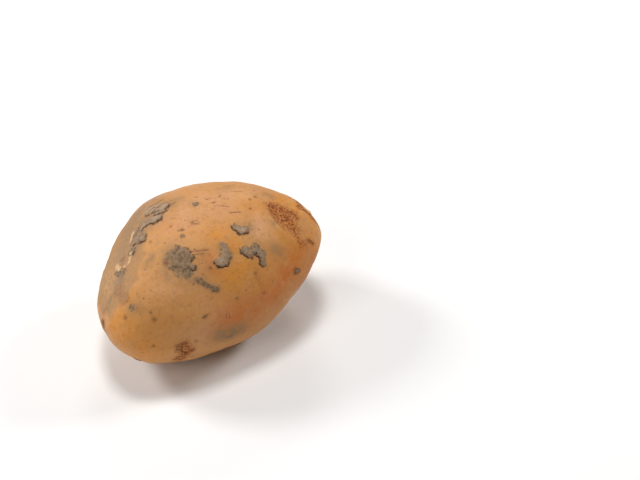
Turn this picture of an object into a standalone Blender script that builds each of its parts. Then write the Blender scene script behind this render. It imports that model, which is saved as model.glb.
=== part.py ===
"""A whole raw potato lying on its side, as lifted and dried. Metres, +Z up.

X runs from the stem end (-X), where the tuber hung on its stolon, to the rose end (+X), where most
of the eyes are. Z = 0 is the small flat spot that it rests on. The tuber is one solid: an oval body
with flats and swellings, and a hollow at each eye.
"""

import math

import bmesh
import bpy
from mathutils import Vector

MM = 0.001

# Overall sizes of the finished tuber.
LENGTH = 98 * MM
WIDTH = 68 * MM
THICKNESS = 59 * MM

# The oval that the tuber starts from. An exponent of 2 is an ellipsoid; a higher one is blunter.
BLUNTNESS = 2.15
BOW = 8.4 * MM  # how far the middle stands out towards +Y from a line through the ends

# The flat spot: how much of the round underside it takes away.
REST_DEPTH = 0.5 * MM

# The cage that is shaped, and how often it is then subdivided.
CAGE_CUTS = 11
SMOOTHING = 1

# Places on the tuber are given as a pair of angles in degrees, seen from the middle of the oval: from
# the rose end (0) to the stem end (180), and round the long axis, from +Y (0) over the top (90) and
# -Y (180) to the underside (270).

# Swellings: place, how high they stand, and how far they reach in degrees.
SWELLINGS = {
    "back_shoulder": ((113, 50), 1.8 * MM, 18),
    "rose_crown": ((24, 120), 1.2 * MM, 14),
    "front_belly": ((93, 212), 0.6 * MM, 16),
}

# Flats, where soil or a stone pressed: place, how deep it is, and how soft its border is.
FLATS = {
    "back_of_stem_end": ((134, 56), 4.2 * MM, 1.2 * MM),
    "belly_of_rose_end": ((54, 228), 3.2 * MM, 2.0 * MM),
}

# Eyes: place of the brow, how deep the hollow is, how wide, and how long it is towards the rose end.
EYES = {
    "crown_eye": ((48, 120), 2.4 * MM, 12 * MM, 13 * MM),
    "rose_tip_eye": ((20, 108), 1.6 * MM, 6 * MM, 6 * MM),
    "stem_front_eye": ((139, 188), 1.2 * MM, 7 * MM, 6 * MM),
    "back_eye": ((64, 12), 2.2 * MM, 10 * MM, 9 * MM),
    "low_back_eye": ((112, 336), 1.8 * MM, 9 * MM, 8 * MM),
    "belly_eye": ((56, 282), 1.8 * MM, 9 * MM, 8 * MM),
    "low_rose_eye": ((31, 200), 1.6 * MM, 8 * MM, 7 * MM),
    "stem_belly_eye": ((142, 262), 1.4 * MM, 8 * MM, 7 * MM),
}
BROW_EDGE = 1.3 * MM  # how gradual the step down at a brow is
BROW_CURVE = 0.05 / MM  # how strongly a brow arches round its eye

# The scar of the stolon: place, depth and width of the hollow that it sits in.
STOLON_SCAR = ((173, 330), 1.6 * MM, 5 * MM)


def clear_scene():
    for obj in list(bpy.data.objects):
        bpy.data.objects.remove(obj)


def direction(place):
    """The unit vector from the middle of the tuber to a place on it."""
    from_rose, round_axis = (math.radians(angle) for angle in place)
    across = math.sin(from_rose)
    return Vector((math.cos(from_rose), across * math.cos(round_axis), across * math.sin(round_axis)))


def oval_point(toward):
    """Where the oval's surface lies in a direction, bent by the bow."""
    halves = (LENGTH / 2, WIDTH / 2, THICKNESS / 2)
    total = sum(abs(part / half) ** BLUNTNESS for part, half in zip(toward, halves))
    point = toward * total ** (-1 / BLUNTNESS)
    share = 2 * point.x / LENGTH
    point.y += BOW * (1 - share * share)
    return point


def add_swelling(point, toward, place, height, reach):
    """Pushes a point out near a swelling's middle."""
    middle = direction(place)
    away = toward.angle(middle) / math.radians(reach)
    return point + middle * height * math.exp(-away * away / 2)


def press_flat(point, place, depth, border):
    """Pushes a point back to a plane square to the direction of place, with a soft border."""
    normal = direction(place)
    plane = oval_point(normal).dot(normal) - depth
    beyond = point.dot(normal) - plane
    kept = -border * math.log1p(math.exp(-beyond / border))
    return point + normal * (kept - beyond)


def sink_eye(point, place, depth, width, length):
    """Sinks a point that lies in an eye: a step down at the brow, then a slow rise to the rose end."""
    middle = direction(place)
    if point.dot(middle) < 0:
        return point
    along = Vector((1, 0, 0)) - middle * middle.x
    along.normalize()
    offset = point - oval_point(middle)
    aside = offset.dot(middle.cross(along))
    ahead = offset.dot(along) - BROW_CURVE * aside * aside / 2
    step = 1 / (1 + math.exp(-ahead / BROW_EDGE))
    fade = math.exp(-((aside / width) ** 2) - (ahead / length) ** 2)
    return point - middle * depth * step * fade


def sink_scar(point, place, depth, width):
    """Sinks a point into the round hollow of the stolon's scar."""
    middle = direction(place)
    away = (point - oval_point(middle)).length / width
    return point - middle * depth * math.exp(-away * away)


def tuber_point(toward):
    """The finished surface in a direction."""
    point = oval_point(toward)
    for place, height, reach in SWELLINGS.values():
        point = add_swelling(point, toward, place, height, reach)
    for place, depth, border in FLATS.values():
        point = press_flat(point, place, depth, border)
    for place, depth, width, length in EYES.values():
        point = sink_eye(point, place, depth, width, length)
    return sink_scar(point, *STOLON_SCAR)


def new_collection(name):
    collection = bpy.data.collections.new(name)
    bpy.context.scene.collection.children.link(collection)
    return collection


def tuber_cage(collection):
    """A cube's even grid of faces, blown up to the tuber's shape."""
    shape = bmesh.new()
    bmesh.ops.create_cube(shape, size=2)
    bmesh.ops.subdivide_edges(shape, edges=shape.edges, cuts=CAGE_CUTS, use_grid_fill=True)
    for vert in shape.verts:
        spread = Vector([math.tan(part * math.pi / 4) for part in vert.co])
        vert.co = tuber_point(spread.normalized())
    mesh = bpy.data.meshes.new("potato")
    shape.to_mesh(mesh)
    shape.free()
    tuber = bpy.data.objects.new("potato", mesh)
    collection.objects.link(tuber)
    smooth = tuber.modifiers.new("Smooth", "SUBSURF")
    smooth.levels = smooth.render_levels = SMOOTHING
    return tuber


def corners(obj):
    """The lowest and highest corner of the object as its modifiers make it."""
    bpy.context.view_layer.update()
    evaluated = obj.evaluated_get(bpy.context.evaluated_depsgraph_get())
    points = [vert.co for vert in evaluated.data.vertices]
    low = Vector([min(point[axis] for point in points) for axis in range(3)])
    high = Vector([max(point[axis] for point in points) for axis in range(3)])
    return low, high


def fit_to_size(tuber):
    """Scales and moves the cage so that the smooth body has the driving sizes and its underside
    dips below Z = 0 by what the flat spot takes away."""
    low, high = corners(tuber)
    wanted = Vector((LENGTH, WIDTH, THICKNESS + REST_DEPTH))
    middle = (low + high) / 2
    for vert in tuber.data.vertices:
        for axis in range(3):
            share = (vert.co[axis] - middle[axis]) / (high[axis] - low[axis])
            vert.co[axis] = share * wanted[axis]
        vert.co.z += THICKNESS / 2 - REST_DEPTH / 2


def cut_rest_spot(tuber, collection):
    """Takes off what lies below Z = 0."""
    bpy.ops.mesh.primitive_cube_add(size=1)
    block = bpy.context.object
    block.name = "below_rest_plane"
    for other in list(block.users_collection):
        other.objects.unlink(block)
    collection.objects.link(block)
    sides = Vector((LENGTH, WIDTH, THICKNESS))
    for vert in block.data.vertices:
        vert.co = Vector([part * side for part, side in zip(vert.co, sides)])
    block.location.z = -THICKNESS / 2
    block.display_type = "WIRE"
    block.hide_render = True
    cut = tuber.modifiers.new("Rest spot", "BOOLEAN")
    cut.operation = "DIFFERENCE"
    cut.object = block


def skin_material():
    material = bpy.data.materials.new("potato_skin")
    material.use_nodes = True
    shader = material.node_tree.nodes["Principled BSDF"]
    shader.inputs["Base Color"].default_value = (0.52, 0.27, 0.11, 1)
    shader.inputs["Roughness"].default_value = 0.6
    shader.inputs["Metallic"].default_value = 0
    return material


def main():
    clear_scene()
    tuber = tuber_cage(new_collection("potato"))
    fit_to_size(tuber)
    cut_rest_spot(tuber, new_collection("cutters"))
    tuber.data.materials.append(skin_material())
    tuber.data.shade_smooth()


main()
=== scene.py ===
# %% [markdown]
# # A whole raw potato
# A potato is one tuber: flesh under a thin corky skin, with nothing to take apart. So there is one
# piece here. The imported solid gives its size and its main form, an oval with two flats, a few
# swellings and a hollow at each eye. This lesson gives that form a skin: a fine mesh laid on the
# solid, sculpted with creases, eyes and scab, and a material that follows the same marks.

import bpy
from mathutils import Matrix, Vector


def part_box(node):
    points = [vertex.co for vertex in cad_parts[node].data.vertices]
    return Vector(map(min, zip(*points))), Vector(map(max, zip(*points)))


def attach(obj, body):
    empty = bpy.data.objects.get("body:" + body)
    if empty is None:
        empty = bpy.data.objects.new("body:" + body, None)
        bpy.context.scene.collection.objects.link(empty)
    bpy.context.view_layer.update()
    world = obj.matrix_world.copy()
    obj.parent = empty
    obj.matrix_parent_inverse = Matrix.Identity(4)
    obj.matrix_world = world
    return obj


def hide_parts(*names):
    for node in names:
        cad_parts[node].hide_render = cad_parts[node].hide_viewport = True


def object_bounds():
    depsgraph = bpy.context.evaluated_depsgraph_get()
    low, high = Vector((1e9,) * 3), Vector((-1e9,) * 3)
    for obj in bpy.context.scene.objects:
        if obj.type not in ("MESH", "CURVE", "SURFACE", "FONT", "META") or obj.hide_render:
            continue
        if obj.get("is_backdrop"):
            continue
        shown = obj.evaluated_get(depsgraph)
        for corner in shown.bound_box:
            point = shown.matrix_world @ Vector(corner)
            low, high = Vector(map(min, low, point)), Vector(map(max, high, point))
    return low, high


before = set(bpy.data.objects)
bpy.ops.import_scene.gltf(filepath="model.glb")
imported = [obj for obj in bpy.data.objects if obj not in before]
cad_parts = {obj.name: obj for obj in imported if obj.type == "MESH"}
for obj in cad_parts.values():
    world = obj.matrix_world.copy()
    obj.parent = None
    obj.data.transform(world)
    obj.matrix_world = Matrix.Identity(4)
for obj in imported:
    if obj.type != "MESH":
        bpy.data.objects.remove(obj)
cad_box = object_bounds()
print("CAD box in metres:", cad_box)

# %% [markdown]
# ## Places on a tuber
# Growers describe a tuber by its two ends. The stem end hung on the stolon, and the rose end has
# most of the eyes. A place on the skin is given here as two angles in degrees, seen from the middle
# of the tuber: the angle from the rose end (0) to the stem end (180), and the angle round the long
# axis, from +Y (0) over the top (90) and -Y (180) to the underside (270). Two angles suit a round
# thing better than X, Y and Z, because every pair of them is on the skin. Sizes are in millimetres.

# %% Turn a place into a point on the solid
import math

import bmesh
import bpy
import numpy as np
from mathutils import Vector, noise
from mathutils.bvhtree import BVHTree

MM = 0.001
low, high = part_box("potato")
middle = (low + high) / 2
half_size = (high - low) / 2
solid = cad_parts["potato"].data
solid_surface = BVHTree.FromPolygons(
    [vert.co for vert in solid.vertices], [face.vertices for face in solid.polygons]
)


def direction(place):
    """The unit vector from the middle of the tuber to a place on it."""
    from_rose, round_axis = (math.radians(angle) for angle in place)
    across = math.sin(from_rose)
    return Vector((math.cos(from_rose), across * math.cos(round_axis), across * math.sin(round_axis)))


def on_solid(toward):
    """The point of the solid's surface in a direction from the middle, in metres."""
    return solid_surface.ray_cast(middle, toward.normalized())[0]


print("the tuber measures", [round(2 * side / MM, 1) for side in half_size], "mm")

# %% [markdown]
# ## The skin's mesh
# A UV sphere would pinch at its poles, just where the stem scar is. A cube whose faces are cut into
# an even grid and then blown up has no poles, and its squares stay nearly equal. Each point is sent
# out from the middle until it meets the solid. The solid is made of flat faces a little over 2 mm
# wide, so a Smooth modifier then relaxes the points until those facets are gone.

# %% Blow a cube up onto the solid and relax it
GRID = 100  # squares along each side of the cube: they come out about half a millimetre wide
RELAX_ROUNDS = 32


def blown_up_cube():
    shape = bmesh.new()
    bmesh.ops.create_cube(shape, size=2)
    bmesh.ops.subdivide_edges(shape, edges=shape.edges, cuts=GRID - 1, use_grid_fill=True)
    for vert in shape.verts:
        spread = Vector([math.tan(part * math.pi / 4) for part in vert.co]).normalized()
        vert.co = on_solid(spread * half_size)
    mesh = bpy.data.meshes.new("potato_skin")
    shape.to_mesh(mesh)
    shape.free()
    return mesh


def baked(obj):
    """The object's mesh as its modifiers make it."""
    graph = bpy.context.evaluated_depsgraph_get()
    return bpy.data.meshes.new_from_object(obj.evaluated_get(graph))


skin = bpy.data.objects.new("potato_skin", blown_up_cube())
bpy.context.scene.collection.objects.link(skin)
relax = skin.modifiers.new("Relax", "SMOOTH")
relax.factor = 0.5
relax.iterations = RELAX_ROUNDS
relaxed = baked(skin)
skin.modifiers.clear()
skin.data = relaxed
print("the skin has", len(skin.data.polygons), "squares")

# %% [markdown]
# ## Marks as strokes
# Scab, creases and stains are long or round blots on the skin. Each is described the way it would
# be painted: a stroke through a few places, with half a brush's width. The distance from every point
# of the mesh to the stroke then gives a soft blot, a sharp plateau or a groove, as needed. Arrays of
# all the points at once keep this fast.

# %% Measure how far points are from a stroke
TINY = 1e-9  # keeps a stroke of one place from dividing by zero


def points_of(mesh):
    """The mesh's points in millimetres, one row each."""
    flat = np.zeros(len(mesh.vertices) * 3, np.float32)
    mesh.vertices.foreach_get("co", flat)
    return flat.reshape(-1, 3).astype(float) / MM


def away_from(points, places):
    """How far each point is from a stroke through places, and the vector from the stroke to it."""
    path = [np.array(on_solid(direction(place))) / MM for place in places]
    best = np.full(len(points), np.inf)
    offset = np.zeros_like(points)
    for start, end in zip(path, path[1:] or path):
        along = end - start
        share = np.clip((points - start) @ along / max(along @ along, TINY), 0, 1)
        gap = points - start - share[:, None] * along
        reach = np.linalg.norm(gap, axis=1)
        nearer = reach < best
        best[nearer] = reach[nearer]
        offset[nearer] = gap[nearer]
    return best, offset


def bell(values, centre, half_width):
    """1 at the centre, falling off softly over the half width on both sides."""
    return np.exp(-(((values - centre) / half_width) ** 2))


def blot(points, places, half_width):
    """1 on a stroke, falling off softly over its half width."""
    return bell(away_from(points, places)[0], 0, half_width)


def rise(values, start, end):
    """0 below start, 1 above end, and a smooth step between them."""
    share = np.clip((values - start) / (end - start), 0, 1)
    return share * share * (3 - 2 * share)


print("half a half width off its centre, a bell is", round(float(bell(0.5, 0, 1)), 2))

# %% Make noise for points
NOISE_GAIN = 1.6  # leaves nearly all of the noise between -1.2 and 1.2
SEED_STEP = (31.7, 17.3, 11.9)  # each seed takes the noise from a place this much further away


def lumps(points, size, seed):
    """Smooth noise, nearly all from -1.2 to 1.2, whose lumps are about size millimetres wide."""
    shift = Vector([seed * part for part in SEED_STEP])
    return np.array([noise.noise(Vector(point) / size + shift) for point in points]) * NOISE_GAIN


def ridges(points, size, seed):
    """Winding ridges up to 1, with lower ground between them."""
    return 1 - 2 * np.abs(lumps(points, size, seed))


def layered(points, layers):
    """Several noises added up. Each has a height, a lump size in millimetres and a seed."""
    return sum(tall * lumps(points, size, seed) for tall, size, seed in layers)


sample = lumps(points_of(skin.data)[::100], 5, 0)
print("noise on a sample of points: from", round(sample.min(), 2), "to", round(sample.max(), 2))

# %% [markdown]
# ## Scab
# Common scab is a soil disease that leaves corky islands on the skin. They are raised by a few
# tenths of a millimetre, ragged, wrinkled on top, and greyer than the skin. Most of them have
# started to peel: one edge stands off over a slight groove, and a line of painted shadow lies under
# it. The opposite edge fades into the skin. So each island has a stroke, and a heading for the edge
# that lifts. The underside and the sides just above it get their islands from a loop: each starts a
# golden angle further round, so that they never line up, and wanders a few steps.

# %% Lay out the scab
import random
from typing import NamedTuple

GOLDEN_ANGLE = 137.5
HIDDEN_ISLANDS = 17
HIDDEN_SCAB_SIDE = (210, 355)  # where the islands from the loop are, in degrees round the axis
HIDDEN_FLAT_SCAB = 0.25  # an island from the loop that is lower, in millimetres, has no lifted edge
SCAB_STRIDE = 5  # degrees
SHARPEST_TURN = 1.2  # radians, for a stroke that wanders


class Island(NamedTuple):
    """Lengths are in millimetres. A lift of 0 degrees is an edge that lifts on the stem end's side,
    90 is one on the side further round the axis, and None is scab that lies flat all round."""

    places: list
    half_width: float
    height: float
    fade: float
    lift: float | None


SCAB = {
    "crown_flake": Island([(77, 119), (75, 122), (72, 123)], 1.5, 0.5, 1.6, 25),
    "boot_arm": Island([(93, 127), (94, 133)], 1.2, 0.35, 1.0, 80),
    "boot": Island([(95, 134), (98, 137), (102, 137)], 1.8, 0.55, 0.8, 50),
    "arch": Island([(81, 137), (79, 140)], 1.5, 0.35, 1.6, 35),
    "arch_top": Island([(76, 138), (73, 137)], 1.3, 0.2, 1.8, 40),
    "arch_knee": Island([(73, 140), (71, 144)], 1.7, 0.35, 1.6, 10),
    "arch_leg": Island([(72, 145), (73, 150)], 1.2, 0.45, 1.0, 5),
    "patch_crumb": Island([(128, 116), (127, 119)], 1.4, 0.16, 3.4, None),
    "patch_low_crumb": Island([(129, 125), (127, 131)], 1.5, 0.16, 3.8, None),
    "patch_left": Island([(125, 119), (125, 126)], 2.0, 0.22, 3.0, None),
    "patch_middle": Island([(122, 116), (121, 124), (123, 134)], 2.0, 0.28, 2.2, None),
    "patch_corner": Island([(119, 118), (118, 125)], 1.3, 0.35, 1.8, 150),
    "patch_ridge": Island([(123, 128), (119, 132)], 1.1, 0.3, 1.6, 130),
    "trail": Island([(120, 141), (118, 143)], 1.3, 0.14, 2.8, None),
    "trail_end": Island([(117, 145), (111, 152)], 0.9, 0.22, 1.6, None),
    "top_dot": Island([(89, 82)], 1.6, 0.15, 1.6, None),
    "brow_dot": Island([(115, 107)], 1.4, 0.12, 1.6, None),
    "ridge_crust": Island([(115, 61), (111, 65), (108, 69)], 2.6, 0.3, 1.6, 80),
    "ridge_scale": Island([(115, 71), (111, 74)], 1.1, 0.35, 1.0, 90),
    "ridge_plate": Island([(128, 67), (123, 73), (118, 77)], 1.7, 0.35, 1.4, 95),
    "flat_scab": Island([(130, 60), (135, 58)], 1.7, 0.12, 3.0, None),
    "stem_plate": Island([(139, 64), (136, 74), (135, 81)], 2.0, 0.35, 2.2, 95),
    "stem_plate_low": Island([(145, 68), (145, 79)], 1.6, 0.35, 1.6, 80),
    "peel_root": Island([(161, 58), (160, 72), (158, 88)], 1.6, 0.2, 1.8, None),
    "low_dot": Island([(53, 167)], 1.3, 0.25, 1.0, 60),
    "low_stem_dot": Island([(153, 142)], 1.6, 0.1, 2.4, None),
    "soil_crust": Island([(107, 192)], 1.4, 0.12, 2.4, None),
}


def spread_places(count, from_rose, round_axis):
    """Places a golden angle apart, between two pairs of limits in degrees."""
    for number in range(count):
        along = from_rose[0] + (from_rose[1] - from_rose[0]) * (number + 0.5) / count
        turn = number * GOLDEN_ANGLE % 360
        yield along, round_axis[0] + (round_axis[1] - round_axis[0]) * turn / 360


def wander(rng, place, steps, stride):
    """A stroke that starts at a place and takes a few steps, turning a little at each."""
    places = [place]
    heading = rng.uniform(0, 2 * math.pi)
    for _ in range(steps):
        heading += rng.uniform(-SHARPEST_TURN, SHARPEST_TURN)
        from_rose = places[-1][0] + stride * math.cos(heading)
        round_axis = places[-1][1] + stride * math.sin(heading)
        places.append((from_rose, round_axis))
    return places


def hidden_scab():
    """Islands on the underside and the sides just above it."""
    rng = random.Random(11)
    for place in spread_places(HIDDEN_ISLANDS, (28, 156), HIDDEN_SCAB_SIDE):
        steps = rng.randint(0, 4)
        stroke = wander(rng, place, steps, SCAB_STRIDE)
        height = rng.uniform(0.12, 0.55)
        lift = rng.uniform(0, 360) if height > HIDDEN_FLAT_SCAB else None
        half_width = rng.uniform(1.0, 2.4)
        fade = rng.uniform(0.8, 3.0)
        yield Island(stroke, half_width, height, fade, lift)


islands = list(SCAB.values()) + list(hidden_scab())
print("scab islands:", len(islands))

# %% Work out what the islands do at each point
CRISP = 0.3  # the softness of a lifted edge, in millimetres
RAGGED_EDGE = [(0.55, 2.2, 1), (0.35, 0.9, 2)]  # height, lump size and seed of its noises
FULLY_RAGGED = 1.6  # the half width from which an island's edge is as ragged as that
THIN_COVER = 0.55  # how well the thinnest scab hides the skin
THIN, THICK = 0.1, 0.3  # heights in millimetres between which scab comes to hide it fully
FADED_HEIGHT = 0.3  # the share of its height that scab keeps away from the lifted edge
LINE_OUTSIDE, LINE_WIDTH = 0.25, 0.3  # where the painted shadow line lies off the edge, and its half width
FULL_LINE = 0.4  # the height from which an island has the full painted shadow line
HIDES_LINE = (0.4, 0.9)  # the cover between which scab comes to hide the painted shadow line under it


def along_skin(place, turn):
    """The unit vector along the skin at a place, in the direction of a turn in degrees."""
    onward, aside = math.cos(math.radians(turn)), math.sin(math.radians(turn))
    ahead = (place[0] + onward, place[1] + aside / math.sin(math.radians(place[0])))
    step = on_solid(direction(ahead)) - on_solid(direction(place))
    return np.array(step.normalized())


def scab_field(points):
    """For each point: how well scab covers it (0 to 1), how high it stands, and how near it is to
    the line of painted shadow under a lifted edge (0 to 1)."""
    ragged = layered(points, RAGGED_EDGE)
    cover, height, undercut_and_shade = (np.zeros(len(points)) for _ in range(3))
    for island in islands:
        away, offset = away_from(points, island.places)
        lifted = np.zeros(len(points))
        if island.lift is not None:
            edge_side = along_skin(island.places[len(island.places) // 2], island.lift)
            lifted = rise(offset @ edge_side / island.half_width, -0.5, 0.5)
        inside = island.half_width - away + ragged * min(1, island.half_width / FULLY_RAGGED)
        soft = CRISP + island.fade * (1 - lifted)
        here = rise(inside, -soft / 2, soft / 2)
        hiding = THIN_COVER + (1 - THIN_COVER) * rise(island.height, THIN, THICK)
        cover = np.maximum(cover, here * hiding)
        kept_height = FADED_HEIGHT + (1 - FADED_HEIGHT) * lifted
        height = np.maximum(height, here * island.height * kept_height)
        line = lifted**2 * bell(inside, -LINE_OUTSIDE, LINE_WIDTH)
        undercut_and_shade = np.maximum(undercut_and_shade, line * min(1, island.height / FULL_LINE))
    return cover, height, undercut_and_shade * (1 - rise(cover, *HIDES_LINE))


# %% [markdown]
# ## Eyes
# An eye is a bud in a hollow, under a brow that is left from a scale leaf. The solid has the
# hollows. The skin adds what is too fine for it: a crisp step at the brow with a small lip on the
# stem side, and the bud. The brow is an arc round the bud, so it is worked out from one place, its
# width and how far its ends reach towards the rose end.

# %% Lay out the eyes
EYES = {  # the brow's middle, its half width and bend in degrees, and its lip and bud in millimetres
    "crown_eye": ((50, 132), 20, 5, 0.3, 0.0),
    "rose_tip_eye": ((26, 128), 20, 4, 0.3, 0.5),
    "stem_front_eye": ((136, 189), 6, 1, 0.2, 0.3),
    "back_eye": ((64, 12), 16, 7, 0.35, 0.6),
    "low_back_eye": ((113, 335), 13, 6, 0.3, 0.5),
    "belly_eye": ((57, 279), 15, 6, 0.3, 0.5),
    "low_rose_eye": ((36, 189), 16, 5, 0.25, 0.4),
    "stem_belly_eye": ((142, 255), 13, 5, 0.25, 0.4),
}
BUD_AHEAD = 8  # degrees from the brow to the bud
BROW_STEPS = 3  # the pieces of the arc on each side of its middle


def brow_arc(place, half_width, bend):
    """The places along a brow, whose ends reach towards the rose end."""
    shares = [step / BROW_STEPS for step in range(-BROW_STEPS, BROW_STEPS + 1)]
    return [(place[0] - bend * share**2, place[1] + half_width * share) for share in shares]


brows = {name: brow_arc(place, wide, bend) for name, (place, wide, bend, _, _) in EYES.items()}
print("eyes:", ", ".join(EYES))

# %% [markdown]
# ## Cracks
# Skin that stopped growing before the flesh did splits into fine shallow cracks. On the top they run
# side by side in short dashes, and round an old eye they turn into creases.

# %% Lay out the cracks
CRACKS = [  # the stroke, its half width and its depth, in millimetres
    ([(115, 122), (110, 124), (105, 126)], 0.3, 0.12),
    ([(114, 125), (109, 127)], 0.25, 0.08),
    ([(79, 83), (76, 83)], 0.3, 0.1),
    ([(77, 89), (75, 89)], 0.35, 0.1),
    ([(68, 89), (65, 91)], 0.3, 0.1),
    ([(70, 85), (67, 83)], 0.3, 0.08),
    ([(72, 105), (66, 108)], 0.35, 0.14),
    ([(76, 94), (70, 99)], 0.25, 0.06),
    ([(58, 71), (55, 73)], 0.3, 0.1),
    ([(59, 84), (53, 87)], 0.25, 0.06),
    ([(101, 98), (98, 99)], 0.3, 0.1),
    ([(103, 100), (99, 103)], 0.3, 0.1),
    ([(111, 86), (109, 88)], 0.25, 0.08),
    ([(114, 100), (111, 102)], 0.45, 0.12),
    ([(134, 184), (134, 193)], 0.4, 0.3),
    ([(134, 193), (131, 197), (129, 195)], 0.4, 0.25),
    ([(136, 184), (137, 192)], 0.3, 0.15),
    ([(137, 203), (135, 204)], 0.35, 0.2),
    ([(134, 204), (132, 204)], 0.35, 0.15),
    ([(128, 205), (127, 203)], 0.3, 0.15),
    ([(122, 167), (119, 166)], 0.4, 0.1),
    ([(108, 171), (108, 175)], 0.25, 0.08),
    ([(106, 172), (106, 176)], 0.25, 0.08),
    ([(39, 151), (38, 156)], 0.4, 0.15),
    ([(158, 60), (157, 73), (155, 90)], 0.4, 0.2),
    ([(151, 57), (153, 50)], 0.4, 0.2),
    ([(133, 53), (138, 55), (142, 55)], 0.35, 0.25),
    ([(112, 59), (107, 60), (103, 61)], 0.3, 0.3),
    ([(114, 66), (109, 66), (104, 67)], 0.35, 0.35),
    ([(117, 62), (112, 63), (110, 68)], 0.3, 0.3),
    ([(125, 68), (121, 75)], 0.3, 0.3),
    ([(107, 72), (104, 72), (100, 72)], 0.35, 0.2),
    ([(133, 72), (137, 76), (137, 82)], 0.4, 0.25),
]
HIDDEN_CRACKS = 24
HIDDEN_SIDE = (205, 400)  # where cracks and spots come from loops, in degrees round the axis
CRACK_STRIDE = 2.5  # degrees


def hidden_cracks():
    """Cracks on the underside and on the side that faces +Y."""
    rng = random.Random(23)
    for place in spread_places(HIDDEN_CRACKS, (30, 150), HIDDEN_SIDE):
        steps = rng.randint(1, 2)
        stroke = wander(rng, place, steps, CRACK_STRIDE)
        half_width = rng.uniform(0.25, 0.4)
        yield stroke, half_width, rng.uniform(0.06, 0.15)


cracks = CRACKS + list(hidden_cracks())
print("cracks:", len(cracks))

# %% [markdown]
# ## More mesh where it is needed
# A scab's edge is a step of half a millimetre, as wide as one square of the mesh. Halving every
# square would make the file four times as big for nothing. Only the squares on scab, at brows, at
# cracks and at the stem scar are cut in half each way.

# %% Cut the squares finer round the marks
STEM_SCAR = (175, 226)
FAINT = 0.1  # scab that covers the skin less than this needs no finer mesh
CRACK_MARGIN = 0.4  # millimetres past a crack's half width
BROW_MARGIN = 1.4  # millimetres from a brow's arc
SCAR_MARGIN = 4  # millimetres from the middle of the stem scar


def needs_detail(points):
    """Which points lie on scab, at a crack, at a brow or at the stem scar."""
    cover, _, undercut_and_shade = scab_field(points)
    wanted = (cover > FAINT) | (undercut_and_shade > FAINT)
    for places, half_width, _ in cracks:
        wanted |= away_from(points, places)[0] < half_width + CRACK_MARGIN
    for places in brows.values():
        wanted |= away_from(points, places)[0] < BROW_MARGIN
    return wanted | (away_from(points, [STEM_SCAR])[0] < SCAR_MARGIN)


def refine(mesh):
    """Cuts in two every edge whose ends both need detail."""
    marked = needs_detail(points_of(mesh))
    shape = bmesh.new()
    shape.from_mesh(mesh)
    shape.verts.ensure_lookup_table()
    edges = [edge for edge in shape.edges if all(marked[vert.index] for vert in edge.verts)]
    bmesh.ops.subdivide_edges(shape, edges=edges, cuts=1, use_grid_fill=True)
    bmesh.ops.triangulate(shape, faces=[face for face in shape.faces if len(face.verts) > 4])
    shape.to_mesh(mesh)
    shape.free()


refine(skin.data)
triangles = sum(len(face.vertices) - 2 for face in skin.data.polygons)
print("the skin now has", triangles, "triangles")

# %% [markdown]
# ## Sculpting
# All the relief is added as one height for each point, along the skin's normal. Heights as small as
# these don't fold the mesh over itself, and layers simply add up: slow swells, leathery unevenness,
# folds, brows and buds, cracks, scab with its wrinkles, and the stem scar.

# %% Lay out the folds
FOLDS = [  # broad relief: the stroke, its half width and its height, in millimetres
    ([(111, 78), (120, 76), (130, 76), (141, 81)], 2.4, 0.45),
    ([(141, 81), (150, 84), (158, 88), (163, 104)], 2.6, 0.35),
    ([(118, 50), (135, 52), (150, 55)], 8.0, -0.5),
    ([(53, 116), (52, 128), (49, 140), (47, 150)], 2.6, 0.35),
    ([(43, 120), (41, 130), (42, 140)], 4.0, -0.4),
    ([(66, 186), (84, 190), (100, 190)], 7.0, 0.3),
    ([(105, 160), (98, 150)], 6.0, -0.25),
    ([(88, 345), (104, 10)], 7.0, 0.4),
    ([(76, 318), (92, 326)], 6.0, -0.4),
]

# %% Work out the height of every point
# Lengths are in millimetres.
UNEVEN = [(0.42, 15, 3), (0.17, 6, 4), (0.045, 2.4, 5), (0.025, 1.2, 6)]  # height, size and seed
LIP_BEHIND, LIP_WIDTH = 1.1, 1.0  # from a brow to its lip, and the lip's half width
DROP_AHEAD, DROP_WIDTH = 0.5, 0.6  # from a brow to its drop, and the drop's half width
DROP_SHARE = 1.2  # a drop's depth over its lip's height
BROW_ENDS = 0.42  # the share of a brow's length over which its relief fades, from the middle
BROW_REACH = 4  # how far from a brow its relief stops
BUD_WIDTH = 1.3
RIDGE_SIZE, GRAIN_SIZE = 1.5, 0.8  # the wrinkles on scab, and the grains on them
RIDGE_SHARE, GRAIN_SHARE = 0.6, 0.4
WRINKLES, WRINKLE_SHARE = 0.05, 0.2  # the wrinkles' height on flat scab, and what its height adds
UNDERCUT_DEPTH = 0.2
RIM_HEIGHT, RIM_RADIUS, RIM_WIDTH = 0.4, 2.4, 0.7  # the stem scar's rim
PIT_DEPTH, PIT_WIDTH = 1.0, 1.7  # the stem scar's pit

points = points_of(skin.data)
flat_normals = np.zeros(len(points) * 3, np.float32)
skin.data.vertex_normals.foreach_get("vector", flat_normals)
normals = flat_normals.reshape(-1, 3).astype(float)


def brow_relief(points, places, lip):
    """A lip on the stem side of a brow and a sharp drop on its rose side, lost towards its ends."""
    gap, offset = away_from(points, places)
    ahead = gap * np.sign(offset[:, 0])
    first_end, last_end = (on_solid(direction(place)) for place in (places[0], places[-1]))
    length = np.linalg.norm(np.subtract(first_end, last_end)) / MM
    middle_share = blot(points, [places[len(places) // 2]], BROW_ENDS * length)
    crest = lip * bell(ahead, -LIP_BEHIND, LIP_WIDTH)
    drop = DROP_SHARE * lip * bell(ahead, DROP_AHEAD, DROP_WIDTH)
    return (crest - drop) * middle_share * (gap < BROW_REACH)


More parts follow.
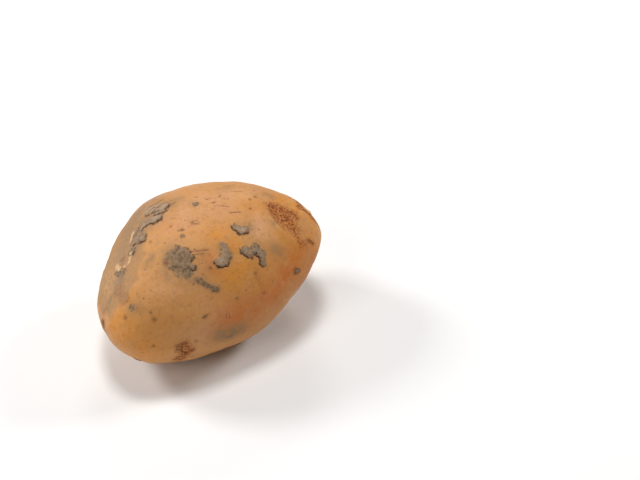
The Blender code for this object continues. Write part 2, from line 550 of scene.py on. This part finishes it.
height = layered(points, UNEVEN)
for places, half_width, fold in FOLDS:
    height += fold * blot(points, places, half_width)
for name, (place, _, _, lip, bud) in EYES.items():
    height += brow_relief(points, brows[name], lip)
    height += bud * blot(points, [(place[0] - BUD_AHEAD, place[1])], BUD_WIDTH)
crack = np.zeros(len(points))
for places, half_width, depth in cracks:
    here = blot(points, places, half_width)
    height -= depth * here
    crack = np.maximum(crack, here)

cover, scab_height, undercut_and_shade = scab_field(points)
crust = RIDGE_SHARE * ridges(points, RIDGE_SIZE, 7) + GRAIN_SHARE * lumps(points, GRAIN_SIZE, 8)
height += scab_height + cover * (WRINKLES + WRINKLE_SHARE * scab_height) * crust
height -= UNDERCUT_DEPTH * undercut_and_shade
scar_away = away_from(points, [STEM_SCAR])[0]
height += RIM_HEIGHT * bell(scar_away, RIM_RADIUS, RIM_WIDTH)
height -= PIT_DEPTH * bell(scar_away, 0, PIT_WIDTH)
print("relief from", round(height.min(), 2), "to", round(height.max(), 2), "mm")

# %% Move the points
sculpted = points + normals * height[:, None]
sculpted[:, 2] = np.maximum(sculpted[:, 2], 0)  # nothing reaches below what the tuber lies on
skin.data.vertices.foreach_set("co", (sculpted * MM).astype(np.float32).ravel())
skin.data.update()
skin.data.shade_smooth()
print("the lowest point is at", round(sculpted[:, 2].min(), 2), "mm")

# %% [markdown]
# ## Masks for the material
# The material has to change colour exactly where the sculpting changed the form, so the marks are
# stored on the mesh as attributes. Each is one number for each point. The material can then sharpen
# or roughen their borders with finer noise than the mesh could hold.

# %% Lay out the stains and spots
STAINS = {  # a stroke, its half width in millimetres and its strength, for each kind of stain
    "russet": [  # netted brown cork
        ([(42, 115), (41, 124), (42, 134)], 5.2, 1.0),
        ([(38, 118), (36, 128)], 4.0, 0.8),
        ([(43, 140), (44, 150)], 3.0, 0.8),
        ([(28, 120), (24, 131)], 1.6, 1.0),
        ([(39, 152), (37, 157)], 1.2, 0.9),
        ([(134, 186), (131, 195), (134, 204)], 3.2, 1.0),
        ([(165, 105), (161, 115), (157, 130)], 3.2, 0.9),
        ([(151, 55), (154, 60)], 2.0, 0.8),
        ([(80, 154), (80, 163)], 3.5, 0.4),
        ([(100, 102), (80, 95), (66, 90)], 5.0, 0.22),
    ],
    "grey": [  # dull soil film and old scab
        ([(105, 70), (118, 74), (130, 73), (142, 76)], 4.2, 0.85),
        ([(106, 190), (113, 187), (100, 190)], 4.0, 0.9),
        ([(125, 116), (123, 133)], 4.6, 1.0),
        ([(129, 119), (131, 130)], 3.4, 0.8),
        ([(120, 141), (116, 144)], 2.2, 0.6),
        ([(116, 146), (110, 152)], 1.6, 0.7),
        ([(62, 144), (59, 149)], 2.4, 0.6),
        ([(140, 112), (136, 109)], 2.4, 0.7),
        ([(104, 72), (96, 70)], 3.0, 0.6),
        ([(89, 82)], 2.2, 0.6),
        ([(95, 128), (96, 136)], 2.8, 0.5),
        ([(113, 130), (109, 136)], 3.0, 0.35),
        ([(73, 139)], 3.6, 0.5),
        ([(71, 122), (67, 122)], 2.0, 0.9),
        ([(53, 127)], 1.6, 0.9),
        ([(38, 94), (36, 100)], 1.8, 0.8),
        ([(116, 126), (108, 127)], 2.2, 0.5),
        ([(171, 105), (174, 120)], 2.4, 0.8),
        ([(153, 142), (150, 146)], 2.4, 0.6),
        ([(162, 92)], 3.6, 0.8),
        ([(55, 73), (62, 76)], 3.0, 0.4),
        ([(90, 300), (70, 330)], 14.0, 0.5),
        ([(100, 240), (70, 250)], 9.0, 0.4),
        ([(150, 330), (140, 350)], 8.0, 0.4),
    ],
    "gold": [  # thinner, yellower skin
        ([(164, 165), (155, 178), (148, 184)], 8.0, 1.0),
        ([(92, 120), (88, 130)], 5.0, 1.0),
        ([(34, 104), (26, 105)], 6.0, 0.8),
        ([(88, 146), (100, 150)], 5.0, 0.8),
        ([(55, 137), (48, 148)], 3.5, 0.7),
        ([(57, 104), (50, 108)], 4.0, 0.9),
        ([(30, 118), (26, 138), (32, 155)], 5.0, 1.0),
        ([(80, 350), (100, 20)], 9.0, 0.8),
        ([(130, 290), (120, 310)], 8.0, 0.7),
    ],
    "pale_and_lit": [  # pale, where the skin is thinnest; at the rose end it is also lightened as painted light
        ([(28, 118), (24, 138), (30, 156)], 5.0, 0.9),
        ([(49, 101), (53, 92)], 4.5, 0.25),
        ([(160, 20), (168, 60)], 6.0, 0.5),
        ([(45, 350), (60, 20)], 7.0, 0.5),
    ],
    "pink": [  # where the skin is fresh and rubbed
        ([(115, 90), (90, 88), (70, 90), (50, 98)], 11.0, 0.85),
        ([(60, 118), (64, 130)], 6.0, 0.8),
        ([(120, 150), (135, 140)], 9.0, 0.5),
        ([(114, 164), (124, 174)], 8.0, 0.6),
        ([(176, 180), (172, 120), (162, 60), (150, 20)], 7.0, 0.6),
        ([(60, 20), (90, 50)], 10.0, 0.7),
        ([(150, 300), (165, 330)], 8.0, 0.6),
    ],
    "soil": [  # soil that dried on behind the ridge
        ([(108, 50), (118, 46), (128, 42)], 7.0, 0.75),
        ([(122, 66), (132, 62), (140, 60)], 4.0, 0.85),
        ([(128, 42), (140, 44), (150, 48)], 6.0, 0.6),
        ([(160, 76), (160, 92)], 3.0, 0.8),
        ([(120, 320), (110, 345)], 8.0, 0.6),
    ],
    "chalk": [  # scab that has dried to a paler crust
        ([(78, 121), (75, 123)], 2.2, 0.7),
        ([(94, 130), (101, 138)], 2.6, 0.6),
        ([(80, 138), (72, 146)], 2.6, 0.4),
        ([(116, 61), (107, 69)], 4.0, 1.0),
        ([(128, 67), (118, 77)], 2.6, 0.9),
        ([(139, 64), (135, 81)], 2.6, 0.5),
    ],
    "orange_and_bounce_light": [  # deep orange brown; the first two strokes, low on the front of the rose half, are also painted orange reflected light
        ([(50, 160), (70, 172), (90, 178), (105, 176)], 9.0, 1.0),
        ([(35, 165), (45, 185)], 9.0, 0.9),
        ([(107, 131), (105, 140)], 3.5, 0.7),
        ([(45, 300), (60, 320)], 10.0, 0.6),
    ],
}
SPOTS = [  # small dark spots: place and radius
    ((157, 150), 0.9),
    ((144, 157), 0.9),
    ((145, 151), 0.6),
    ((121, 167), 0.8),
    ((81, 154), 0.6),
    ((79, 169), 0.7),
    ((99, 164), 0.6),
    ((128, 195), 0.8),
    ((127, 185), 0.7),
    ((110, 153), 1.0),
    ((109, 138), 0.6),
    ((112, 101), 0.7),
    ((102, 99), 0.6),
    ((132, 93), 0.6),
    ((146, 181), 0.6),
    ((48, 97), 0.7),
    ((58, 108), 0.6),
    ((53, 99), 0.6),
    ((116, 92), 0.5),
    ((39, 112), 0.5),
    ((35, 124), 0.5),
    ((54, 165), 0.8),
    ((103, 139), 1.0),
    ((131, 120), 1.1),
    ((25, 126), 0.9),
    ((25, 133), 0.8),
    ((77, 89), 0.5),
]
FLAKES = [  # pale skin that peels: places and half width
    ([(133, 50), (138, 51)], 0.9),
    ([(148, 73), (148, 80)], 1.35),
    ([(151, 85), (150, 81)], 1.0),
    ([(157, 46), (158, 59)], 1.15),
    ([(156, 73), (155, 79)], 0.6),
]
HIDDEN_SPOTS = 34


def hidden_spots():
    """Spots on the underside and on the side that faces +Y."""
    rng = random.Random(5)
    for place in spread_places(HIDDEN_SPOTS, (25, 155), HIDDEN_SIDE):
        yield place, rng.uniform(0.5, 1.0)


spots = SPOTS + list(hidden_spots())
print("spots:", len(spots))

# %% Turn them into masks
FLAT_BACK = (134, 56)  # the middle of the flat behind the stem end, where soil dried on
FILM_DEPTH = 1.4  # millimetres below the flat's highest point, where the film of soil ends
RUSSET_DONE = ("crown_eye", "stem_front_eye")  # these eyes have their russet in the list above
BROW_RUSSET = (2.0, 0.9)  # the half width and strength of the russet along the other brows
SCAR_WIDTH = 2.2
FILM_EDGE = [(0.5, 5, 9)]  # height, lump size and seed of the noise that makes an edge uneven
FLAKE_EDGE = [(0.6, 1.3, 8)]
FLAKE_SOFT = (-0.1, 0.2)  # millimetres inside its edge between which a flake comes to show


def strongest(layers):
    """The highest of several masks at each point."""
    return np.max(np.array(list(layers)), axis=0)


facing = points @ np.array(direction(FLAT_BACK))
highest = facing.max()
uneven = facing + layered(points, FILM_EDGE)
film = rise(uneven, highest - FILM_DEPTH, highest - FILM_DEPTH / 3)
STAINS["russet"] += [(brows[name], *BROW_RUSSET) for name in EYES if name not in RUSSET_DONE]
masks = {
    kind: strongest(power * blot(points, places, wide) for places, wide, power in strokes)
    for kind, strokes in STAINS.items()
}
masks["film"] = film
masks["scab"] = cover
masks["crust"] = crust
# A slight groove under each lifted edge, with painted shadow along it.
masks["undercut_and_shade"] = undercut_and_shade
masks["crack"] = crack
masks["spot"] = strongest(blot(points, [place], radius) for place, radius in spots)
flake_edge = layered(points, FLAKE_EDGE)
masks["flake"] = strongest(
    rise(wide - away_from(points, places)[0] + flake_edge, *FLAKE_SOFT) for places, wide in FLAKES
)
masks["scar"] = bell(scar_away, 0, SCAR_WIDTH)


# %% Find the crevices, where shade is painted
CREVICE_ROUNDS = 6


def crevices(mesh, points, normals):
    """How far each point lies below its neighbours, in millimetres."""
    ends = np.zeros(len(mesh.edges) * 2, np.int32)
    mesh.edges.foreach_get("vertices", ends)
    first, second = ends.reshape(-1, 2).T
    count = np.bincount(ends, minlength=len(points))[:, None]
    around = points
    for _ in range(CREVICE_ROUNDS):
        total = np.zeros_like(around)
        np.add.at(total, first, around[second])
        np.add.at(total, second, around[first])
        around = total / count
    return ((around - points) * normals).sum(axis=1)


# Painted shade: the material darkens points that lie below their neighbours, as shade falls in creases.
masks["crevice"] = crevices(skin.data, sculpted, normals)
for name, values in masks.items():
    layer = skin.data.attributes.new(name, "FLOAT", "POINT")
    layer.data.foreach_set("value", values.astype(np.float32))
    print(f"{name}: {values.min():.2f} to {values.max():.2f}")

# %% [markdown]
# ## Colours and nodes
# Colours are picked as sRGB hex values, as in any paint program, but a shader works in linear
# light, so one function turns them. One more function adds a node with its settings and its inputs.
# An input that is another node's socket is linked, and any other value is set.

# %% Two helpers


def linear(hex_colour):
    """A linear colour from an sRGB hex value."""
    parts = [int(hex_colour[at : at + 2], 16) / 255 for at in (1, 3, 5)]
    turned = [part / 12.92 if part <= 0.04045 else ((part + 0.055) / 1.055) ** 2.4 for part in parts]
    return (*turned, 1)


def add(tree, kind, inputs=None, **settings):
    """A new node with its settings made and its inputs linked or set."""
    node = tree.nodes.new(kind)
    for name, value in settings.items():
        setattr(node, name, value)
    for name, value in (inputs or {}).items():
        if isinstance(value, bpy.types.NodeSocket):
            tree.links.new(value, node.inputs[name])
        else:
            node.inputs[name].default_value = value
    return node


print("mid grey in linear light:", round(linear("#808080")[0], 3))

# %% [markdown]
# ## The skin's material
# Potato skin is periderm: a few layers of dry cork cells over yellow flesh. It is matt, and its
# colour is never even. It drifts between pinkish tan and golden ochre over a centimetre or two, and
# it carries finer noise at every scale down to the grit of half a millimetre. Cork and dry leaves
# have an index of refraction near 1.45. The noises are made first, each with its real lump size, and
# everything after that picks from them.

# %% Start the material and make its noises
skin_cork = bpy.data.materials.new("potato_periderm")
skin_cork.use_nodes = True
tree = skin_cork.node_tree
shader = tree.nodes["Principled BSDF"]
shader.inputs["IOR"].default_value = 1.45
shader.inputs["Metallic"].default_value = 0.0
where = add(tree, "ShaderNodeTexCoord").outputs["Object"]

PATTERNS = {  # lump size in millimetres, detail and roughness
    "clouds": (15.0, 3.0, 0.5),
    "blotches": (5.0, 3.0, 0.55),
    "mottle": (2.4, 4.0, 0.65),
    "crumbs": (1.5, 4.0, 0.7),
    "flecks": (1.9, 2.0, 0.6),
    "grit": (0.9, 3.0, 0.5),
    "dust": (0.5, 3.0, 0.5),
}
pattern = {}
for name, (size, detail, roughness) in PATTERNS.items():
    inputs = {"Vector": where, "Scale": 1 / (size * MM), "Detail": detail, "Roughness": roughness}
    pattern[name] = add(tree, "ShaderNodeTexNoise", inputs).outputs["Fac"]
mark = {name: add(tree, "ShaderNodeAttribute", attribute_name=name).outputs["Fac"] for name in masks}
print("noises:", ", ".join(pattern))

# %% [markdown]
# Russet is a net of dead cork, with dots and short worms half a millimetre wide and about one apart.
# Lenticels are the breathing pores, every three millimetres or so. Voronoi cells of those sizes give
# both, as the distance to each cell's middle, once the coordinates are shaken a little so that the
# cells lose their straight borders. A scab's soft cover becomes ragged when noise is added to it
# before it is cut off.

# %% Dots, pores and ragged edges
SHAKE_SIZE = 1.2 * MM  # the lumps of the noise that shakes the coordinates
SHAKE = 1.1 * MM  # how far it can move them

inputs = {"Vector": where, "Scale": 1 / SHAKE_SIZE, "Detail": 2.0}
shaken_by = add(tree, "ShaderNodeTexNoise", inputs).outputs["Color"]
inputs = {0: shaken_by, 1: (SHAKE,) * 3, 2: where}
shaken = add(tree, "ShaderNodeVectorMath", inputs, operation="MULTIPLY_ADD").outputs[0]

CELLS = {  # the cell's size in millimetres, and the distances where a dot starts and is whole
    "dots": (0.95, 0.62, 0.4),
    "pores": (3.2, 0.19, 0.09),
}
for name, (size, start, end) in CELLS.items():
    cells = add(tree, "ShaderNodeTexVoronoi", {"Vector": shaken, "Scale": 1 / (size * MM)})
    inputs = {"Value": cells.outputs["Distance"], "From Min": start, "From Max": end}
    mark[name] = add(tree, "ShaderNodeMapRange", inputs, interpolation_type="SMOOTHSTEP").outputs[0]

CUT_OFF = {  # the mark, the noise added to it, its strength, and the sums that count as 0 and 1
    "scab_cover": ("scab", "crumbs", 1.6, 1.05, 1.5),
    "russet_cover": ("russet", "blotches", 0.9, 0.6, 1.35),
    "crust_top": ("crust", "grit", 0.9, 0.1, 1.0),
}
for name, (source, noise_name, strength, start, end) in CUT_OFF.items():
    inputs = {0: pattern[noise_name], 1: strength, 2: mark[source]}
    total = add(tree, "ShaderNodeMath", inputs, operation="MULTIPLY_ADD").outputs[0]
    inputs = {"Value": total, "From Min": start, "From Max": end}
    mark[name] = add(tree, "ShaderNodeMapRange", inputs, interpolation_type="SMOOTHSTEP").outputs[0]

BOTH = {  # marks that lie only where two others meet
    "russet_dots": ("russet_cover", "dots"),
    "scab_tops": ("scab_cover", "crust_top"),
    "chalky_scab": ("scab_cover", "chalk"),
}
for name, (first, second) in BOTH.items():
    inputs = {0: mark[first], 1: mark[second]}
    mark[name] = add(tree, "ShaderNodeMath", inputs, operation="MULTIPLY").outputs[0]
print("marks:", ", ".join(mark))

# %% [markdown]
# The colour is built like a watercolour: each row below is a thin wash laid over the last one. It
# goes where its mark is, and its noise makes it uneven. The last numbers are how much of it lies
# where the noise is low and where it is high.

# %% Lay the colours
WASHES = [  # the mark or None for everywhere, the noise and its span, the cover at each end, the colour
    (None, "clouds", (0.35, 0.65), (0.0, 0.7), "#C48B4A"),
    (None, "grit", (0.52, 0.7), (0.0, 0.35), "#AE8A66"),
    ("pink", "blotches", (0.3, 0.7), (0.3, 0.9), "#CC956B"),
    # deep orange skin, and low on the front of the rose half a painted orange reflection
    ("orange_and_bounce_light", "blotches", (0.3, 0.7), (0.5, 1.0), "#C2691A"),
    # pale thin skin, lightened further at the rose end as painted light
    ("pale_and_lit", "blotches", (0.3, 0.7), (0.4, 0.9), "#E8B878"),
    ("gold", "blotches", (0.3, 0.6), (0.3, 1.0), "#CC832A"),
    (None, "mottle", (0.52, 0.75), (0.0, 0.45), "#D09A5C"),
    (None, "flecks", (0.5, 0.72), (0.0, 0.34), "#9C6234"),
    (None, "crumbs", (0.58, 0.75), (0.0, 0.3), "#8E5A30"),
    ("pores", "blotches", (0.42, 0.6), (0.0, 0.7), "#8A5028"),
    ("russet_cover", "mottle", (0.35, 0.65), (0.45, 1.0), "#B2661F"),
    ("russet_dots", "mottle", (0.3, 0.55), (0.4, 1.0), "#763A14"),
    ("film", "crumbs", (0.35, 0.65), (0.4, 1.0), "#A27E58"),
    ("soil", "crumbs", (0.35, 0.65), (0.5, 1.0), "#90775F"),
    ("grey", "mottle", (0.32, 0.62), (0.25, 0.95), "#876E50"),
    ("spot", "grit", (0.3, 0.6), (0.6, 1.0), "#70401F"),
    ("scab_cover", "mottle", (0.3, 0.7), (0.85, 1.0), "#765D43"),
    ("scab_cover", "crumbs", (0.48, 0.62), (0.0, 0.75), "#5A452F"),
    ("scab_tops", "dust", (0.3, 0.6), (0.1, 0.75), "#9A8063"),
    ("chalky_scab", "dust", (0.3, 0.6), (0.45, 0.9), "#B2967A"),
    ("crack", "grit", (0.3, 0.6), (0.3, 0.85), "#744524"),
    # painted shadow: the dark line under a scab's lifted edge
    ("undercut_and_shade", "dust", (0.2, 0.5), (0.7, 1.0), "#3E2412"),
    ("flake", "grit", (0.3, 0.6), (0.7, 0.95), "#D2AC80"),
    ("scar", "grit", (0.3, 0.6), (0.8, 1.0), "#3A2416"),
]
DEEP = (0.04, 0.2)  # millimetres below its neighbours where painted shade starts, and where it is darkest
DEEP_SHADE = 0.6  # how much of the painted shade colour the deepest points take
CREVICE_SHADE_COLOUR = "#4E2F1A"

colour = linear("#C48641")
for name, noise_name, (start, end), (least, most), hex_colour in WASHES:
    inputs = {"Value": pattern[noise_name], "From Min": start, "From Max": end}
    inputs |= {"To Min": least, "To Max": most}
    wash = add(tree, "ShaderNodeMapRange", inputs, interpolation_type="SMOOTHSTEP").outputs[0]
    if name:
        wash = add(tree, "ShaderNodeMath", {0: wash, 1: mark[name]}, operation="MULTIPLY").outputs[0]
    mix = add(tree, "ShaderNodeMix", {0: wash, 6: colour, 7: linear(hex_colour)}, data_type="RGBA")
    colour = mix.outputs[2]
# Painted shade in the crevices, laid over all the washes.
inputs = {"Value": mark["crevice"], "From Min": DEEP[0], "From Max": DEEP[1], "To Max": DEEP_SHADE}
crevice_shade_amount = add(tree, "ShaderNodeMapRange", inputs).outputs[0]
mix = add(tree, "ShaderNodeMix", {0: crevice_shade_amount, 6: colour, 7: linear(CREVICE_SHADE_COLOUR)}, data_type="RGBA")
tree.links.new(mix.outputs[2], shader.inputs["Base Color"])
print("washes:", len(WASHES))

# %% [markdown]
# Clean skin has a faint waxy sheen, and soil and scab have none, so the roughness rises on them. The
# finest relief, of 0.3 millimetres at most, is left to a bump: grit everywhere, pits at the dots and
# pores, and crumbs on the scab.

# %% Gloss and fine relief
WAXY, DULL = 0.56, 0.82
RELIEF = [  # the mark or None for everywhere, the noise or second mark, and the height in millimetres
    (None, "grit", 0.13),
    (None, "dust", 0.06),
    (None, "flecks", 0.1),
    ("dots", "russet", -0.09),
    ("pores", "blotches", -0.07),
    ("scab_cover", "crumbs", 0.3),
    ("film", "mottle", 0.12),
]

matt = mark["scab_cover"]
for name in ("film", "grey", "russet"):
    matt = add(tree, "ShaderNodeMath", {0: matt, 1: mark[name]}, operation="MAXIMUM").outputs[0]
inputs = {"Value": matt, "To Min": WAXY, "To Max": DULL}
tree.links.new(add(tree, "ShaderNodeMapRange", inputs).outputs[0], shader.inputs["Roughness"])

relief = 0.0
for name, other, tall in RELIEF:
    source = pattern.get(other) or mark[other]
    if name:
        inputs = {0: source, 1: mark[name]}
        source = add(tree, "ShaderNodeMath", inputs, operation="MULTIPLY").outputs[0]
    inputs = {0: source, 1: tall, 2: relief}
    relief = add(tree, "ShaderNodeMath", inputs, operation="MULTIPLY_ADD").outputs[0]
bump = add(tree, "ShaderNodeBump", {"Height": relief, "Distance": MM, "Strength": 1.0})
tree.links.new(bump.outputs["Normal"], shader.inputs["Normal"])
skin.data.materials.append(skin_cork)
print("material nodes:", len(tree.nodes))

# %% Put the skin in the frame
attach(skin, "root")
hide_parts("potato")
print(skin.name, "stands in for the node potato")

# %% [markdown]
# ## Studio
# The tuber lies on a plain white table, as for a catalogue. The strongest softbox is overhead, and one
# on each side models the form. Those two stand a little beyond the tuber, so its soft shadow falls
# towards the camera. A weaker one behind and a broad one in front keep every side readable. The table
# is pale, so it also lights the tuber from below.

# %% Floor and lights
AZIMUTH = math.radians(-36.5)
view_right = Vector((math.cos(AZIMUTH), math.sin(AZIMUTH), 0))
view_away = Vector((-math.sin(AZIMUTH), math.cos(AZIMUTH), 0))
FLOOR_SIDE = 6.0
FILL = 0.04  # the strength of the even light from all round

bpy.ops.mesh.primitive_plane_add(size=FLOOR_SIDE)
floor = bpy.context.object
floor.name = "floor"
table = bpy.data.materials.new("white_table")
table.use_nodes = True
table_shader = table.node_tree.nodes["Principled BSDF"]
table_shader.inputs["Base Color"].default_value = linear("#F6F5F4")
table_shader.inputs["Roughness"].default_value = 0.9
floor.data.materials.append(table)
floor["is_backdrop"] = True

SOFTBOXES = {  # its side in metres, its watts, and how many metres right, away and up it stands
    "left_softbox": (0.25, 4.2, -0.7, 0.2, 0.6),
    "right_softbox": (0.25, 3.2, 0.72, 0.28, 0.6),
    "top_softbox": (0.25, 4.9, 0.0, 0.0, 1.1),
    "back_softbox": (0.3, 2.0, 0.0, 0.85, 0.6),
    "front_softbox": (0.5, 3.05, -0.5, -0.7, 0.7),
}
for name, (side, watts, right, away, up) in SOFTBOXES.items():
    light = bpy.data.lights.new(name, "AREA")
    light.shape = "SQUARE"
    light.size = side
    light.energy = watts
    lamp = bpy.data.objects.new(name, light)
    bpy.context.scene.collection.objects.link(lamp)
    lamp.location = view_right * right + view_away * away + Vector((0, 0, up))
    lamp.rotation_euler = (middle - lamp.location).to_track_quat("-Z", "Y").to_euler()

world = bpy.data.worlds.new("soft_fill")
bpy.context.scene.world = world
world.use_nodes = True
sky = world.node_tree.nodes["Background"]
sky.inputs["Color"].default_value = (1, 1, 1, 1)
sky.inputs["Strength"].default_value = FILL
bpy.context.scene.view_settings.view_transform = "Standard"
print("softboxes:", ", ".join(SOFTBOXES))

# %% [markdown]
# ## Camera
# A short telephoto lens keeps the tuber's proportions true. The camera looks down at 40 degrees from
# the stem end's side, and the tuber lies a little to the left of and below the middle of the frame.

# %% Camera
ELEVATION = math.radians(40)
LENS = 85  # millimetres
DISTANCE = 604 * MM
AIM_RIGHT = 46.7 * MM  # from the tuber's middle to where the camera aims
AIM_UP = 10.6 * MM

back = Vector((0, 0, math.sin(ELEVATION))) - view_away * math.cos(ELEVATION)
camera = bpy.data.objects.new("camera", bpy.data.cameras.new("camera"))
camera.data.lens = LENS
bpy.context.scene.collection.objects.link(camera)
aim = middle + view_right * AIM_RIGHT + back.cross(view_right) * AIM_UP
camera.location = aim + back * DISTANCE
camera.rotation_euler = back.to_track_quat("Z", "Y").to_euler()
bpy.context.scene.camera = camera
print("the camera is", round(camera.location.z / MM), "mm above the table")

visual_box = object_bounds()
boxes = {"cad": [list(corner) for corner in cad_box], "visual": [list(corner) for corner in visual_box]}
for name, (lowest, highest) in boxes.items():
    print(name, "size in millimetres:", [round((b - a) / MM, 1) for a, b in zip(lowest, highest)])
